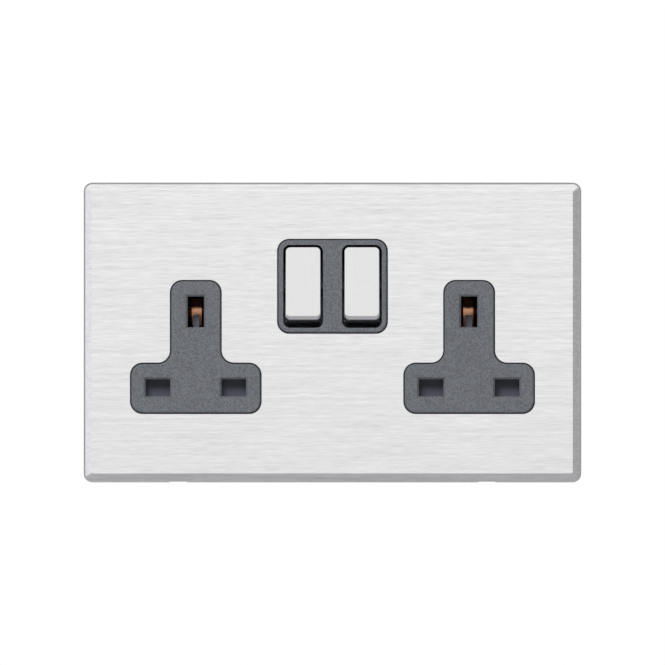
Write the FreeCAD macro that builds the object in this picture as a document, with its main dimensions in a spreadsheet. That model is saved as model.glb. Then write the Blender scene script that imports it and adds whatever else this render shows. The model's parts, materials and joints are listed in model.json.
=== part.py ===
import FreeCAD, Part
import math
import os
import re
import Sketcher

# Two-gang switched wall socket with a clip-on steel plate, in millimetres.
# +X is to the right and +Z is up as one faces it, and the front looks along -Y.
# The origin is midway between the two fixing holes, on the wall behind the plate.

doc = FreeCAD.newDocument("TwinSocket")
sheet = doc.addObject("Spreadsheet::Sheet", "Sizes")

SIZES = {
    # front plate, a pressed sheet with a bevelled edge
    "plate_width": 146.0,
    "plate_height": 88.0,
    "plate_depth": 7.0,
    "plate_wall": 1.0,
    "rim_radius": 2.6,
    "face_radius": 0.5,
    "rim_draft": 0.6,
    "bevel_width": 2.05,
    "bevel_depth": 1.8,
    "notch_offset": 45.3,
    "notch_width": 4.9,
    "notch_depth": 2.0,
    # T openings, placed from the pins of the plug
    "outlet_pitch": 80.0,
    "pin_pitch": 22.23,
    "line_drop": 16.2,
    "stem_width": 15.05,
    "bar_width": 38.4,
    "bar_height": 14.9,
    "below_line": 7.6,
    "above_earth": 9.27,
    "opening_radius": 3.6,
    "boss_gap": 0.3,
    "boss_proud": 0.3,
    "boss_bevel": 0.35,
    # apertures for the pins
    "slot_width": 7.2,
    "slot_height": 5.0,
    "earth_slot_width": 4.8,
    "earth_slot_height": 9.0,
    "slot_chamfer": 0.6,
    "earth_pin_length": 22.73,
    "line_pin_length": 17.7,
    "earth_tip_room": 0.6,
    "line_tip_room": 0.8,
    # switch surround
    "surround_width": 32.3,
    "surround_height": 27.65,
    "surround_radius": 3.5,
    "switch_level": 13.5,
    "rocker_pitch": 17.2,
    "window_width": 11.65,
    "window_height": 24.25,
    "window_radius": 2.0,
    # front moulding behind the plate
    "deck_lip": 0.3,
    "deck_thickness": 2.0,
    "screw_scallop": 4.2,
    # grid frame that screws to the wall box
    "frame_inset": 2.2,
    "frame_thickness": 1.4,
    "frame_corner": 4.0,
    "frame_window_room": 1.5,
    "frame_window_radius": 1.5,
    "spring_notch_width": 6.0,
    "spring_notch_depth": 3.7,
    "bond_overlap": 2.2,
    "box_screw_pitch": 120.6,
    "box_hole": 4.2,
    "tongue_width": 9.0,
    "tongue_sheet": 0.8,
    "tongue_rise": 3.2,
    "tongue_gap": 0.15,
    "tongue_offset": 44.0,
    "side_tongue_offset": 24.0,
    # rear moulding
    "house_side_room": 0.8,
    "house_side_lip": 1.7,
    "house_lip": 6.2,
    "house_wall": 1.6,
    "house_radius": 3.0,
    "house_bevel": 0.8,
    "rib_thickness": 1.2,
    "ledge_offset": 22.0,
    "ledge_reach": 1.6,
    "pillar_size": 3.4,
    "post_radius": 3.2,
    "post_inset_across": 5.2,
    "post_inset_up": 3.8,
    "screw_head_radius": 2.3,
    "screw_head_height": 1.8,
    "screw_head_depth": 9.4,
    "screw_radius": 1.4,
    "screw_clearance": 0.2,
    "screw_bite": 1.4,
    "head_clearance": 0.2,
    # shutters and their keeper plate
    "shutter_gap": 0.3,
    "shutter_thickness": 2.0,
    "shutter_travel": 5.2,
    "shutter_cover": 0.4,
    "shutter_stem": 5.0,
    "ramp_width": 1.8,
    "ramp_top": 5.1,
    "rail_gap": 0.3,
    "rail_width": 1.4,
    "keeper_thickness": 1.2,
    "keeper_gap": 0.3,
    "keeper_corner": 10.4,
    "pin_room": 0.5,
    "spring_radius": 0.8,
    "spring_wire": 0.3,
    "spring_length": 8.2,
    "spring_turns": 5.0,
    "spring_seat": 0.05,
    "nub_radius": 0.4,
    "nub_length": 0.8,
    "shelf_thickness": 1.2,
    # brass strips and pin contacts
    "strip_thickness": 0.8,
    "strip_width": 6.0,
    "mouth_gap": 0.2,
    "grip": 3.7,
    "earth_grip": 3.1,
    "leaf": 0.6,
    "lip_flare": 0.9,
    "lip_length": 2.2,
    "line_leaf_width": 6.6,
    "earth_leaf_height": 8.0,
    # switch action
    "pivot_depth": 0.6,
    "pivot_radius": 1.2,
    "pivot_clearance": 0.1,
    "rocker_tilt": 8.0,
    "rocker_width": 10.4,
    "rocker_face": 20.8,
    "rocker_rise": 9.3,
    "rocker_flank": 6.6,
    "rocker_flare": 0.9,
    "rocker_bevel": 0.5,
    "cap_sheet": 0.6,
    "cap_depth": 5.2,
    "core_wall": 1.2,
    "stem_size": 6.0,
    "stem_reach": 3.4,
    "bore_radius": 1.9,
    "bore_depth": 9.4,
    "plunger_radius": 1.7,
    "plunger_length": 6.0,
    "plunger_reach": 6.4,
    "plunger_bevel": 1.0,
    "plunger_wire": 0.35,
    "plunger_turns": 5.0,
    "cheek_thickness": 1.5,
    "well_wall": 1.2,
    "well_sheet": 1.0,
    "well_room": 1.3,
    "well_gap": 0.3,
    "plunger_room": 0.4,
    "blade_gap": 0.1,
    "blade_tilt": 5.5,
    "blade_width": 5.0,
    "blade_sheet": 0.8,
    "blade_long_arm": 9.4,
    "blade_short_arm": 6.0,
    "tip_arm": 7.5,
    "tip_radius": 1.5,
    "tip_height": 0.8,
    "tip_gap": 0.06,
    "knife_clearance": 0.06,
    "knife_notch": 0.3,
    # terminals
    "terminal_width": 8.4,
    "terminal_height": 9.0,
    "terminal_depth": 6.6,
    "terminal_foot": 30.0,
    "terminal_seat": 0.15,
    "wire_bore": 4.2,
    "bore_level": 3.1,
    "neutral_terminal_at": -18.0,
    "live_terminal_at": -6.0,
    "earth_terminal_at": 10.6,
    "earth_bore_pitch": 8.2,
    "clamp_radius": 1.75,
    "clamp_length": 3.0,
    "screw_slot_length": 3.0,
    "driver_slot": 0.8,
    "driver_depth": 0.9,
}

for row, (name, size) in enumerate(SIZES.items(), start=1):
    sheet.set(f"A{row}", name)
    sheet.set(f"B{row}", str(size))
    sheet.setAlias(f"B{row}", name)
doc.recompute()

SIDES = {"left": "-1", "right": "1"}
TOUCHING = 1e-4
FUNCTIONS = {"sin", "cos", "tan", "atan", "min", "max"}


def sized(text):
    """An expression with each size's name turned into a reference to its cell."""
    return re.sub(
        r"[a-z][a-z0-9_]*", lambda word: word[0] if word[0] in FUNCTIONS else "Sizes." + word[0], text
    )


def value(text):
    """What an expression comes to now, in millimetres or degrees."""
    result = sheet.evalExpression(sized(text))
    return float(getattr(result, "Value", result))


def new_body(label):
    body = doc.addObject("PartDesign::Body", label)
    body.Label = label
    return body


def new_sketch(body, role, lift):
    """A sketch on one of the body's own planes, moved along its normal."""
    plane = next(feature for feature in body.Origin.OriginFeatures if feature.Role == role)
    drawing = body.newObject("Sketcher::SketchObject", body.Label + "_outline")
    drawing.AttachmentSupport = [(plane, "")]
    drawing.MapMode = "FlatFace"
    drawing.setExpression("AttachmentOffset.Base.z", sized(lift))
    return drawing


def hold(drawing, kind, line, point, place):
    """Hold a point at a distance from the sketch's origin."""
    index = drawing.addConstraint(Sketcher.Constraint(kind, -1, 1, line, point, value(place)))
    drawing.setExpression(f"Constraints[{index}]", sized(place))


def polygon(drawing, corners):
    """A closed outline with straight sides, each corner held from the origin."""
    points = [FreeCAD.Vector(value(across), value(up), 0) for across, up in corners]
    lines = [
        drawing.addGeometry(Part.LineSegment(start, end), False)
        for start, end in zip(points, points[1:] + points[:1])
    ]
    for line, after in zip(lines, lines[1:] + lines[:1]):
        drawing.addConstraint(Sketcher.Constraint("Coincident", line, 2, after, 1))
    for line, (across, up) in zip(lines, corners):
        hold(drawing, "DistanceX", line, 1, across)
        hold(drawing, "DistanceY", line, 1, up)


def rounded(drawing, corners, radius, inner_radius=None):
    """A closed outline of level and upright sides, with an arc at every corner."""
    points = [FreeCAD.Vector(value(across), value(up), 0) for across, up in corners]
    count = len(points)
    ways = [(points[(i + 1) % count] - points[i]).normalize() for i in range(count)]
    turns = [ways[i - 1].cross(ways[i]).z > 0 for i in range(count)]
    radii = [radius if turn else inner_radius for turn in turns]
    sizes = [value(text) for text in radii]
    lines = []
    for i in range(count):
        start = points[i] + ways[i] * sizes[i]
        end = points[(i + 1) % count] - ways[i] * sizes[(i + 1) % count]
        lines.append(drawing.addGeometry(Part.LineSegment(start, end), False))
        level = abs(ways[i].y) < abs(ways[i].x)
        drawing.addConstraint(Sketcher.Constraint("Horizontal" if level else "Vertical", lines[i]))
        hold(drawing, "DistanceY" if level else "DistanceX", lines[i], 1, corners[i][1 if level else 0])
    for i in range(count):
        middle = points[i] + (ways[i] - ways[i - 1]) * sizes[i]
        before = points[i] - ways[i - 1] * sizes[i] - middle
        after = points[i] + ways[i] * sizes[i] - middle
        first, last = (before, after) if turns[i] else (after, before)
        arc = Part.ArcOfCircle(
            Part.Circle(middle, FreeCAD.Vector(0, 0, 1), sizes[i]),
            FreeCAD.Vector(1, 0, 0).getAngle(first) * (1 if first.y >= 0 else -1),
            FreeCAD.Vector(1, 0, 0).getAngle(last) * (1 if last.y >= 0 else -1),
        )
        curve = drawing.addGeometry(arc, False)
        entry, leave = (1, 2) if turns[i] else (2, 1)
        drawing.addConstraint(Sketcher.Constraint("Tangent", lines[i - 1], 2, curve, entry))
        drawing.addConstraint(Sketcher.Constraint("Tangent", curve, leave, lines[i], 1))
        index = drawing.addConstraint(Sketcher.Constraint("Radius", curve, sizes[i]))
        drawing.setExpression(f"Constraints[{index}]", sized(radii[i]))


def circle(drawing, across, up, radius):
    middle = FreeCAD.Vector(value(across), value(up), 0)
    ring = drawing.addGeometry(Part.Circle(middle, FreeCAD.Vector(0, 0, 1), value(radius)), False)
    hold(drawing, "DistanceX", ring, 3, across)
    hold(drawing, "DistanceY", ring, 3, up)
    index = drawing.addConstraint(Sketcher.Constraint("Radius", ring, value(radius)))
    drawing.setExpression(f"Constraints[{index}]", sized(radius))


SCREW_SIDES = 12


def ring(across, up, radius, sides):
    """The corners of a regular outline with a few sides, for small pieces that repeat."""
    turns = [f"{360 * i / sides}" for i in range(sides)]
    return [(f"{across} + ({radius}) * cos({turn})", f"{up} + ({radius}) * sin({turn})") for turn in turns]


def box(left, right, low, high):
    """The corners of an upright rectangle."""
    return [(left, low), (right, low), (right, high), (left, high)]


def middle_box(across, up, width, height):
    """The corners of a rectangle given by its middle."""
    return box(
        f"{across} - ({width}) / 2",
        f"{across} + ({width}) / 2",
        f"{up} - ({height}) / 2",
        f"{up} + ({height}) / 2",
    )


def draw(drawing, outlines):
    for outline in outlines:
        if callable(outline):
            outline(drawing)
        else:
            polygon(drawing, outline)


# Each plane's upright: where a depth grows along -Y, the sketch is lifted by its opposite.
AXES = {"y": ("XZ_Plane", -1), "x": ("YZ_Plane", 1), "z": ("XY_Plane", 1)}


def extrude(body, kind, axis, outlines, start, end):
    """Add or take away a prism between two places along an axis."""
    role, sense = AXES[axis]
    base = end if (sense < 0) == (kind == "Pad") else start
    drawing = new_sketch(body, role, f"-({base})" if sense < 0 else base)
    draw(drawing, outlines)
    feature = body.newObject("PartDesign::" + kind, body.Label + "_" + kind.lower())
    feature.Profile = drawing
    feature.setExpression("Length", sized(f"({end}) - ({start})"))
    drawing.Visibility = False


def pad(body, outlines, start, end, axis="y"):
    extrude(body, "Pad", axis, outlines, start, end)


def pocket(body, outlines, start, end, axis="y"):
    extrude(body, "Pocket", axis, outlines, start, end)


def bevel(body, size, wanted):
    """Bevel those edges of the body's last feature whose bounds pass a test."""
    doc.recompute()
    base = body.Tip
    edges = enumerate(base.Shape.Edges, start=1)
    names = [f"Edge{number}" for number, edge in edges if wanted(edge.BoundBox)]
    feature = body.newObject("PartDesign::Chamfer", body.Label + "_bevel")
    feature.Base = (base, names)
    feature.setExpression("Size", sized(size))


def at_depth(place):
    """A test for edges that lie flat at one depth."""
    depth = value(place)
    return lambda reach: max(abs(reach.YMin - depth), abs(reach.YMax - depth)) < TOUCHING


# Depths, from the wall at 0 towards the front, which is negative.
face = "-plate_depth"
boss_face = "-(plate_depth + boss_proud)"
frame_front = "-frame_thickness"
deck_front = "-(frame_thickness + deck_thickness)"
shutter_front = "(shutter_gap - frame_thickness)"
shutter_back = f"({shutter_front} + shutter_thickness)"
keeper_front = f"({shutter_back} + shutter_gap)"
keeper_back = f"({keeper_front} + keeper_thickness)"
mouth = f"({keeper_back} + mouth_gap)"
line_web = "(line_pin_length + line_tip_room - plate_depth - boss_proud)"
line_back = f"({line_web} + strip_thickness)"
earth_web = "(earth_pin_length + earth_tip_room - plate_depth - boss_proud)"
earth_back = f"({earth_web} + strip_thickness)"
house_back = f"({earth_back} + terminal_depth)"
house_floor = f"({house_back} - house_wall)"

# Outlines behind the plate. The window in the frame leaves room for the shutters' travel.
frame_width = "(plate_width - 2 * frame_inset)"
frame_height = "(plate_height - 2 * frame_inset)"
deck_width = "(outlet_pitch + bar_width + 2 * deck_lip)"
house_width = "(outlet_pitch + pin_pitch + slot_width + 2 * (shutter_cover + house_side_room + house_wall))"
window_tall = "(line_drop + slot_height / 2 + shutter_cover + shutter_travel + frame_window_room)"
window_wide = f"({house_width} / 2 - house_side_lip)"
house_height = f"(2 * ({window_tall} + house_lip))"

# Wells behind the switch windows, in which the rockers turn. Their floors keep off the blades.
well_back = "(pivot_depth + plunger_reach - well_room)"
well_floor = f"({well_back} - well_sheet)"
well_tall = "(window_height / 2 + well_wall)"
well_half = "(rocker_pitch / 2 + window_width / 2 + cheek_thickness)"

# Heights of the pins, and how far each line pin stands from the middle of its outlet.
line_level = "(-line_drop)"
earth_level = "(pin_pitch - line_drop)"
pin_half = "pin_pitch / 2"
outlets = {side: f"({sign} * outlet_pitch / 2)" for side, sign in SIDES.items()}
rockers = {side: f"({sign} * rocker_pitch / 2)" for side, sign in SIDES.items()}


# Front plate: one pressed sheet of brushed steel, open behind, with a bevelled edge
# and a slightly flared rim. Two notches in the lower rim take a screwdriver.
def t_corners(across, inset):
    """The T opening of one outlet, shrunk by an inset all round."""
    low = f"{line_level} - below_line + {inset}"
    shoulder = f"{line_level} - below_line + bar_height - {inset}"
    top = f"{earth_level} + above_earth - {inset}"
    bar = f"(bar_width / 2 - {inset})"
    stem = f"(stem_width / 2 - {inset})"
    return [
        (f"{across} - {bar}", low),
        (f"{across} + {bar}", low),
        (f"{across} + {bar}", shoulder),
        (f"{across} + {stem}", shoulder),
        (f"{across} + {stem}", top),
        (f"{across} - {stem}", top),
        (f"{across} - {stem}", shoulder),
        (f"{across} - {bar}", shoulder),
    ]


def t_outline(across, inset):
    return lambda drawing: rounded(
        drawing, t_corners(across, inset), f"opening_radius - {inset}", f"opening_radius + {inset}"
    )


def surround_outline(inset):
    corners = middle_box(
        "0", "switch_level", f"surround_width - 2 * {inset}", f"surround_height - 2 * {inset}"
    )
    return lambda drawing: rounded(drawing, corners, f"surround_radius - {inset}")


def ring_of_plate(body, inset, radius, depth):
    """A rounded rectangle set in from the plate's rim at one depth."""
    drawing = new_sketch(body, "XZ_Plane", f"-({depth})")
    corners = middle_box("0", "0", f"plate_width - 2 * ({inset})", f"plate_height - 2 * ({inset})")
    rounded(drawing, corners, radius)
    drawing.Visibility = False
    return drawing


def loft(body, kind, rings):
    feature = body.newObject("PartDesign::" + kind, body.Label + "_loft")
    feature.Profile = rings[0]
    feature.Sections = rings[1:]
    feature.Ruled = True


bevel_turn = "tan(atan(bevel_depth / bevel_width) / 2)"
wall_turn = "tan(atan(bevel_width / bevel_depth) / 2)"

front_plate = new_body("front_plate")
outer_rings = [
    ring_of_plate(front_plate, "0", "rim_radius", "0"),
    ring_of_plate(front_plate, "rim_draft", "rim_radius - rim_draft", "bevel_depth - plate_depth"),
    ring_of_plate(front_plate, "rim_draft + bevel_width", "face_radius", face),
]
loft(front_plate, "AdditiveLoft", outer_rings)
inner_rings = [
    ring_of_plate(front_plate, "plate_wall", "rim_radius - plate_wall", "0"),
    ring_of_plate(
        front_plate,
        "rim_draft + plate_wall",
        "rim_radius - rim_draft - plate_wall / 2",
        f"bevel_depth - plate_depth + plate_wall * {wall_turn}",
    ),
    ring_of_plate(
        front_plate,
        f"rim_draft + bevel_width + plate_wall * {bevel_turn}",
        "face_radius",
        "plate_wall - plate_depth",
    ),
]
loft(front_plate, "SubtractiveLoft", inner_rings)
pocket(
    front_plate,
    [t_outline(outlets["left"], "0"), t_outline(outlets["right"], "0"), surround_outline("0")],
    face,
    "plate_wall - plate_depth",
)
notches = [
    box(
        f"{sign} * notch_offset - notch_width / 2",
        f"{sign} * notch_offset + notch_width / 2",
        "-plate_height / 2",
        "-plate_height / 2 + plate_wall * 2",
    )
    for sign in SIDES.values()
]
pocket(front_plate, notches, "-notch_depth", "0")


# Grid frame: zinc plated sheet steel with a window for the mouldings and a hole at each
# end for the box screws. Spring tongues folded from its edge grip the plate's rim, and
# the window is notched for the shutter springs and for the switch wells.
posts = [
    (f"{a} * ({house_width} / 2 - post_inset_across)", f"{b} * ({house_height} / 2 - post_inset_up)")
    for a in SIDES.values()
    for b in SIDES.values()
]
bond_at = "(outlet_pitch / 2 - strip_width / 2)"


def post_rings(radius):
    return [ring(x, z, radius, SCREW_SIDES) for x, z in posts]


grid_frame = new_body("grid_frame")
frame_corners = middle_box("0", "0", frame_width, frame_height)
pad(grid_frame, [lambda drawing: rounded(drawing, frame_corners, "frame_corner")], frame_front, "0")
frame_window = box(f"-{window_wide}", window_wide, f"-{window_tall}", window_tall)
pocket(
    grid_frame, [lambda drawing: rounded(drawing, frame_window, "frame_window_radius")], frame_front, "0"
)
spring_notches = [
    box(
        f"{middle} - spring_notch_width / 2",
        f"{middle} + spring_notch_width / 2",
        f"-({window_tall} + spring_notch_depth)",
        f"spring_notch_depth - {window_tall}",
    )
    for middle in outlets.values()
]
well_room_half = f"({well_half} + well_gap)"
well_room_top = f"(switch_level + {well_tall} + well_gap)"
well_notch = box(f"-{well_room_half}", well_room_half, "switch_level", well_room_top)
pocket(grid_frame, spring_notches + [well_notch], frame_front, "0")
box_holes = [
    lambda drawing, sign=sign: circle(drawing, f"{sign} * box_screw_pitch / 2", "0", "box_hole / 2")
    for sign in SIDES.values()
]
pocket(grid_frame, box_holes + post_rings("screw_radius + screw_clearance"), frame_front, "0")


def tongue(sign, rim_half, frame_half):
    """The side view of a tongue that leans out towards the plate's rim."""
    foot = f"{sign} * ({frame_half})"
    lean = f"{sign} * ({rim_half} - plate_wall - rim_draft - tongue_gap)"
    corners = [
        (foot, "-frame_thickness / 2"),
        (lean, "-(frame_thickness + tongue_rise)"),
        (f"{lean} - {sign} * tongue_sheet", "-(frame_thickness + tongue_rise)"),
        (f"{foot} - {sign} * tongue_sheet", "-frame_thickness / 2"),
    ]
    return corners


for sign in SIDES.values():
    upright = [(depth, place) for place, depth in tongue(sign, "plate_height / 2", f"{frame_height} / 2")]
    for place in ("-tongue_offset", "0", "tongue_offset"):
        pad(
            grid_frame,
            [upright],
            f"{place} - tongue_width / 2",
            f"{place} + tongue_width / 2",
            axis="x",
        )
    for place in ("-side_tongue_offset", "side_tongue_offset"):
        pad(
            grid_frame,
            [tongue(sign, "plate_width / 2", f"{frame_width} / 2")],
            f"{place} - tongue_width / 2",
            f"{place} + tongue_width / 2",
            axis="z",
        )


# Front moulding: one piece of dark thermoset. A flat deck lies on the grid frame, and both
# T bosses and the switch surround rise from it through the plate. Behind it are the wells
# of the rockers, the shutter rails and the spring shelves.
def slots(width_room, height_room):
    """The two line slots of both outlets, with some room added."""
    width = f"slot_width + {width_room}"
    height = f"slot_height + {height_room}"
    return [
        middle_box(f"{middle} + {sign} * {pin_half}", line_level, width, height)
        for middle in outlets.values()
        for sign in SIDES.values()
    ]


def earth_slots(width_room, height_room):
    """The earth slots of both outlets, with some room added."""
    width = f"earth_slot_width + {width_room}"
    height = f"earth_slot_height + {height_room}"
    return [middle_box(middle, earth_level, width, height) for middle in outlets.values()]


def window_outline(middle):
    corners = middle_box(middle, "switch_level", "window_width", "window_height")
    return lambda drawing: rounded(drawing, corners, "window_radius")


cheek_foot = "(window_width / 2)"
rail_foot = "(shutter_stem / 2 + rail_gap)"
rail_low = f"({line_level} + slot_height / 2 + shutter_cover + rail_gap)"
rail_high = f"({earth_level} - earth_slot_height / 2 - shutter_cover - rail_gap)"
bar_low = f"({line_level} - slot_height / 2 - shutter_cover)"
bar_high = f"({line_level} + slot_height / 2 + shutter_cover)"
shelf_top = f"({bar_low} - spring_length)"

front_moulding = new_body("front_moulding")
pad(front_moulding, [middle_box("0", "0", deck_width, house_height)], deck_front, frame_front)
raised = [t_outline(middle, "boss_gap") for middle in outlets.values()] + [surround_outline("boss_gap")]
pad(front_moulding, raised, boss_face, deck_front)
bevel(front_moulding, "boss_bevel", at_depth(boss_face))
pocket(front_moulding, slots("0", "0") + earth_slots("0", "0"), boss_face, frame_front)
wells = [
    middle_box(middle, "switch_level", "window_width + 2 * cheek_thickness", f"2 * {well_tall}")
    for middle in rockers.values()
]
pad(front_moulding, wells, frame_front, well_back)
pocket(front_moulding, [window_outline(middle) for middle in rockers.values()], boss_face, well_floor)
plunger_swing = "(plunger_radius + plunger_reach * sin(rocker_tilt) + plunger_room)"
plunger_slots = [
    middle_box(middle, "switch_level", "2 * (plunger_radius + plunger_room)", f"2 * {plunger_swing}")
    for middle in rockers.values()
]
pocket(front_moulding, plunger_slots, well_floor, well_back)
scallops = [
    lambda drawing, sign=sign: circle(drawing, f"{sign} * box_screw_pitch / 2", "0", "screw_scallop")
    for sign in SIDES.values()
]
pocket(front_moulding, scallops, deck_front, frame_front)
pocket(front_moulding, post_rings("screw_radius"), f"{frame_front} - screw_bite", frame_front)


def slot_mouth(reach):
    """Whether an edge is the front edge of a pin slot."""
    for slot in slots("0", "0") + earth_slots("0", "0"):
        left, low, right, high = [value(place) for corner in (slot[0], slot[2]) for place in corner]
        across = left - TOUCHING < reach.XMin and reach.XMax < right + TOUCHING
        if across and low - TOUCHING < reach.ZMin and reach.ZMax < high + TOUCHING:
            return at_depth(boss_face)(reach)
    return False


bevel(front_moulding, "slot_chamfer", slot_mouth)
pivot_holes = [
    lambda drawing: circle(drawing, "pivot_depth", "switch_level", "pivot_radius + pivot_clearance")
]
pocket(front_moulding, pivot_holes, f"-{well_half}", well_half, axis="x")
rails = [
    box(
        f"{middle} + {sign} * ({rail_foot} + rail_width / 2) - rail_width / 2",
        f"{middle} + {sign} * ({rail_foot} + rail_width / 2) + rail_width / 2",
        rail_low,
        rail_high,
    )
    for middle in outlets.values()
    for sign in SIDES.values()
]
shelf_low = f"{shelf_top} - shelf_thickness"
shelves = [
    box(f"{middle} - shutter_stem / 2", f"{middle} + shutter_stem / 2", shelf_low, shelf_top)
    for middle in outlets.values()
]
pad(front_moulding, rails + shelves, frame_front, keeper_front)


# Shutters: one grey slide in each outlet. The cross bar closes both line slots, and the
# ramp in the earth slot is pushed down by the plug's earth pin.
ramp_foot = f"({earth_level} - earth_slot_height / 2)"
shutter_middle = f"({shutter_front} + {shutter_back}) / 2"
for side in SIDES:
    shutter = new_body(f"shutter_{side}")
    bar_half = f"({pin_half} + slot_width / 2 + shutter_cover)"
    pad(shutter, [box(f"-{bar_half}", bar_half, bar_low, bar_high)], shutter_front, shutter_back)
    stem = box("-shutter_stem / 2", "shutter_stem / 2", bar_high, ramp_foot)
    pad(shutter, [stem], shutter_front, shutter_back)
    ramp_rise = f"(ramp_top - {ramp_foot})"
    ramp = [
        (shutter_front, f"{ramp_foot} - shutter_thickness"),
        (f"{shutter_back} + ramp_width", f"{ramp_foot} - shutter_thickness"),
        (f"{shutter_back} + ramp_width", "ramp_top"),
        (f"{shutter_front} + {ramp_rise}", "ramp_top"),
        (shutter_front, ramp_foot),
    ]
    pad(shutter, [ramp], "-ramp_width / 2", "ramp_width / 2", axis="x")
    nub = [lambda drawing: circle(drawing, "0", shutter_middle, "nub_radius")]
    pad(shutter, nub, f"{bar_low} - nub_length", bar_low, axis="z")
    shutter.setExpression("Placement.Base.x", sized(outlets[side]))


WIRE_SIDES = 4
BENDS_PER_TURN = 6
MITRED = 1


def coil(label, radius, wire, length, turns):
    """A wire spring standing on its origin, bent in short straight runs with mitred joins."""
    steps = round(turns * BENDS_PER_TURN)
    rise = (length - wire) / steps
    bend = 2 * math.pi / BENDS_PER_TURN
    points = [
        FreeCAD.Vector(radius * math.cos(bend * i), radius * math.sin(bend * i), wire / 2 + rise * i)
        for i in range(steps + 1)
    ]
    way = (points[1] - points[0]).normalize()
    out = FreeCAD.Vector(1, 0, 0)
    out = (out - way * out.dot(way)).normalize()
    angles = [2 * math.pi * i / WIRE_SIDES for i in range(WIRE_SIDES)]
    side = way.cross(out)
    section = [points[0] + (out * math.cos(angle) + side * math.sin(angle)) * (wire / 2) for angle in angles]
    path = Part.makePolygon(points)
    spring = doc.addObject("Part::Feature", label)
    spring.Label = label
    spring.Shape = path.makePipeShell([Part.makePolygon(section + section[:1])], True, False, MITRED)
    return spring


# Shutter springs: light coils that stand on the shelves and lift the shutters.
for side in SIDES:
    shutter_spring = coil(
        f"shutter_spring_{side}",
        value("spring_radius"),
        value("spring_wire"),
        value("spring_length - 2 * spring_seat"),
        value("spring_turns"),
    )
    shutter_spring.setExpression("Placement.Base.x", sized(outlets[side]))
    shutter_spring.setExpression("Placement.Base.y", sized(shutter_middle))
    shutter_spring.setExpression("Placement.Base.z", sized(f"{shelf_top} + spring_seat"))


# Shutter plate: a thin inner moulding with slots for the pins, which keeps both shutters
# against the front moulding. It lies on ledges in the rear moulding.
keeper_half = f"({house_width} / 2 - house_wall - keeper_gap)"
keeper_tall = f"({house_height} / 2 - house_wall - keeper_gap)"
shutter_plate = new_body("shutter_plate")
keeper_outline = [
    (f"-{keeper_half} + keeper_corner", f"-{keeper_tall}"),
    (f"{keeper_half} - keeper_corner", f"-{keeper_tall}"),
    (keeper_half, f"-{keeper_tall} + keeper_corner"),
    (keeper_half, f"{keeper_tall} - keeper_corner"),
    (f"{keeper_half} - keeper_corner", keeper_tall),
    (f"-{keeper_half} + keeper_corner", keeper_tall),
    (f"-{keeper_half}", f"{keeper_tall} - keeper_corner"),
    (f"-{keeper_half}", f"-{keeper_tall} + keeper_corner"),
]
pad(shutter_plate, [keeper_outline], keeper_front, keeper_back)
ramp_bottom = f"({ramp_foot} - shutter_thickness - shutter_travel)"
ramp_slots = [
    box(
        f"{middle} - ramp_width / 2 - pin_room",
        f"{middle} + ramp_width / 2 + pin_room",
        f"{ramp_bottom} - pin_room",
        f"{ramp_foot} + pin_room",
    )
    for middle in outlets.values()
]
pin_slots = slots("pin_room", "pin_room") + earth_slots("pin_room", "pin_room")
pocket(shutter_plate, pin_slots, keeper_front, keeper_back)
pocket(shutter_plate, ramp_slots, keeper_front, keeper_back)
well_hole = middle_box("0", "switch_level", f"2 * {well_room_half}", f"2 * ({well_tall} + well_gap)")
pocket(shutter_plate, [well_hole], keeper_front, keeper_back)
bond_level = f"({window_tall} + bond_overlap)"
bond_notch = box(
    f"{bond_at} - strip_width / 2 - keeper_gap",
    f"{bond_at} + strip_width / 2 + keeper_gap",
    f"{bond_level} - strip_thickness - keeper_gap",
    f"{keeper_tall} + keeper_gap",
)
pocket(shutter_plate, [bond_notch], keeper_front, keeper_back)


# Earth strap: one bronze strip. A pair of leaves folded forward at each outlet grips the
# earth pin, a leg runs down to the earth terminal, and an arm is folded forward to press
# on the grid frame, which earths the steel plate.
def earth_leaf(middle, sign):
    """One sprung leaf in plan, flared at its mouth."""
    inner = f"{middle} + {sign} * earth_grip / 2"
    return [
        (inner, earth_web),
        (inner, f"{mouth} + lip_length"),
        (f"{inner} + {sign} * lip_flare", mouth),
        (f"{inner} + {sign} * (lip_flare + leaf)", mouth),
        (f"{inner} + {sign} * leaf", f"{mouth} + lip_length"),
        (f"{inner} + {sign} * leaf", earth_web),
    ]


strap_end = "(outlet_pitch / 2 + earth_grip / 2 + leaf)"
strap_low = f"({earth_level} - earth_leaf_height / 2)"
strap_high = f"({earth_level} + earth_leaf_height / 2)"
terminal_middle = "(terminal_height / 2 - terminal_foot)"
run_low = f"({terminal_middle} - strip_width / 2)"
run_high = f"({terminal_middle} + strip_width / 2)"
earth_strap = new_body("earth_strap")
strap_outline = [
    (f"-{strap_end}", strap_low),
    (f"{strap_end} - strip_width", strap_low),
    (f"{strap_end} - strip_width", run_high),
    ("earth_terminal_at - terminal_width", run_high),
    ("earth_terminal_at - terminal_width", run_low),
    (strap_end, run_low),
    (strap_end, strap_high),
    (f"{bond_at} + strip_width / 2", strap_high),
    (f"{bond_at} + strip_width / 2", bond_level),
    (f"{bond_at} - strip_width / 2", bond_level),
    (f"{bond_at} - strip_width / 2", strap_high),
    (f"-{strap_end}", strap_high),
]
pad(earth_strap, [strap_outline], earth_web, earth_back)
bond_leg = middle_box(bond_at, f"{bond_level} - strip_thickness / 2", "strip_width", "strip_thickness")
pad(earth_strap, [bond_leg], "0", earth_web)
for middle in outlets.values():
    leaves = [earth_leaf(middle, sign) for sign in SIDES.values()]
    pad(earth_strap, leaves, strap_low, strap_high, axis="z")


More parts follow.
